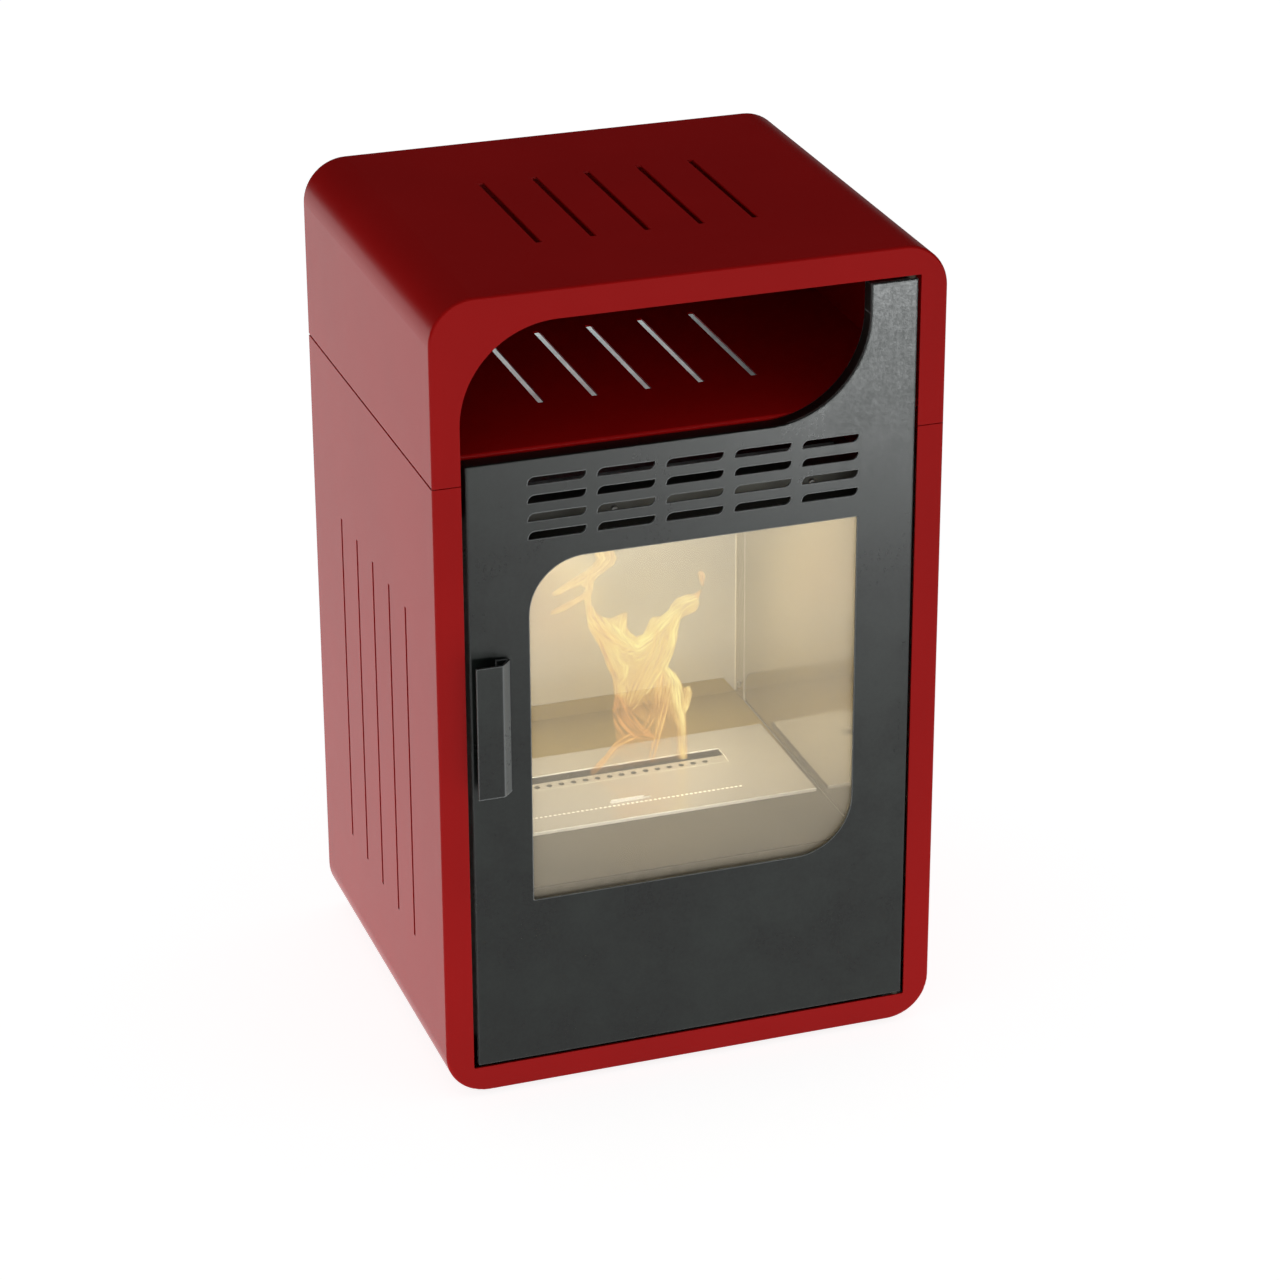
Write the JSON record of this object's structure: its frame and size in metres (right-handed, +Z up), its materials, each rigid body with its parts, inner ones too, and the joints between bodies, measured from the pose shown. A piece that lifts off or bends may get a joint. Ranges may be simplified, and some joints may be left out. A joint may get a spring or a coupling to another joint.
{
  "type": "stove",
  "caption": "Free-standing liquid-fuel stove: red steel casing with open niche, slotted sides and a grey sheet door with window, on a side hinge.",
  "frame": {"origin": "middle of the overall footprint, on the plane the feet stand on", "axes": "+Z up, the door faces -Y, +X to the right as seen from the front"},
  "size_m": [0.523, 0.4712, 0.856],
  "materials": {
    "red_coat": "satin powder coat",
    "door_coat": "satin grey",
    "stainless": "satin",
    "dark_sheet": "matte heat resistant",
    "galvanised": "plain",
    "screw_zinc": "zinc plated",
    "clear_glass": "polished",
    "seal_fibre": "flat fibre tape",
    "wick_fibre": "ceramic fibre",
    "bush_brass": "turned",
    "catch_plastic": "moulded",
    "foot_rubber": "matte"
  },
  "bodies": {
    "cabinet": {"burner_plate": "stainless", "crossbar_screws": "screw_zinc", "deflector_screws": "screw_zinc", "deflector_spacers": "galvanised", "drip_tray": "galvanised", "fibre_wick": "wick_fibre", "firebox_back": "stainless", "firebox_back_screws": "screw_zinc", "firebox_crossbar": "dark_sheet", "firebox_floor": "dark_sheet", "firebox_left_wall": "stainless", "firebox_right_wall": "stainless", "firebox_top": "dark_sheet", "firebox_wall_screws": "screw_zinc", "flame_strip": "stainless", "floor_ledge_left": "galvanised", "floor_ledge_right": "galvanised", "foot_front_left": "foot_rubber", "foot_front_right": "foot_rubber", "foot_rear_left": "foot_rubber", "foot_rear_right": "foot_rubber", "front_apron": "galvanised", "fuel_tank": "galvanised", "heat_deflector": "galvanised", "hinge_bracket_bottom": "galvanised", "hinge_bracket_top": "galvanised", "hinge_pin_bottom": "screw_zinc", "hinge_pin_top": "screw_zinc", "hood_casing": "red_coat", "lower_casing": "red_coat", "magnet_catch_lower": "catch_plastic", "magnet_catch_upper": "catch_plastic", "niche_shelf": "red_coat", "rear_panel": "red_coat", "rear_panel_screws": "screw_zinc", "seam_joiner_left": "red_coat", "seam_joiner_right": "red_coat", "shutter_guide_left": "galvanised", "shutter_guide_right": "galvanised"},
    "door": {"door_panel": "door_coat", "door_edge_strips": "door_coat", "door_arc_strip": "door_coat", "window_glass": "clear_glass", "glass_seal": "seal_fibre", "glass_clips": "galvanised", "glass_clip_nuts": "screw_zinc", "door_handle": "door_coat", "handle_screws": "screw_zinc", "hinge_bush_top": "bush_brass", "hinge_bush_bottom": "bush_brass", "striker_upper": "galvanised", "striker_lower": "galvanised"},
    "shutter": {"air_shutter": "stainless"}
  },
  "joints": [
    {"name": "door_hinge", "type": "hinge", "parent": "cabinet", "child": "door", "pos_m": [0.225, -0.2126, 0.4291], "axis": [0, 0, 1], "range_deg": [0, 105]},
    {"name": "shutter_slide", "type": "slide", "parent": "cabinet", "child": "shutter", "axis": [1, 0, 0], "range_m": [0, 0.0067]}
  ]
}
